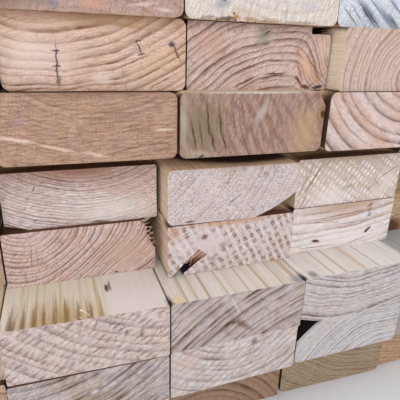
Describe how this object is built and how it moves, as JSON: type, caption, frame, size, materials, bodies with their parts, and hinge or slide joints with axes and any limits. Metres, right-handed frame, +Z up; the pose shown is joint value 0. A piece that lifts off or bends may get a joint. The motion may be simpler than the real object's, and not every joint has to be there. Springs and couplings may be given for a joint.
{
  "type": "bundle of pine studs",
  "caption": "Strapped bundle of planed pine studs stacked flat in layers, with laths between the upper and lower layers and ends that stand in and out a little.",
  "frame": {"origin": "middle of the bundle's footprint, on the floor under the straps", "axes": "+X across the bundle to the right as seen in the picture, +Y along the studs away from the pictured ends, +Z up"},
  "size_m": [0.4776, 2.45, 0.3],
  "materials": {
    "pine": "planed softwood, sawn ends",
    "lath_pine": "rough-sawn softwood",
    "strapping": "embossed polyester band",
    "seal": "zinc-coated sheet"
  },
  "bodies": {
    "root": {"stud_1_1": "pine", "stud_1_2": "pine", "stud_1_3": "pine", "stud_1_4": "pine", "stud_1_5": "pine", "stud_2_1": "pine", "stud_2_2": "pine", "stud_2_3": "pine", "stud_2_4": "pine", "stud_2_5": "pine", "stud_3_1": "pine", "stud_3_2": "pine", "stud_3_3": "pine", "stud_3_4": "pine", "stud_3_5": "pine", "stud_4_1": "pine", "stud_4_2": "pine", "stud_4_3": "pine", "stud_4_4": "pine", "stud_4_5": "pine", "stud_5_1": "pine", "stud_5_2": "pine", "stud_5_3": "pine", "stud_5_4": "pine", "stud_5_5": "pine", "stud_6_1": "pine", "stud_6_2": "pine", "stud_6_3": "pine", "stud_6_4": "pine", "stud_6_5": "pine", "stud_7_1": "pine", "stud_7_2": "pine", "stud_7_3": "pine", "stud_7_4": "pine", "stud_7_5": "pine", "stud_8_1": "pine", "stud_8_2": "pine", "stud_8_3": "pine", "stud_8_4": "pine", "stud_8_5": "pine", "lath_1": "lath_pine", "lath_2": "lath_pine", "lath_3": "lath_pine", "strap_1": "strapping", "strap_2": "strapping", "seal_1": "seal", "seal_2": "seal"}
  },
  "joints": []
}
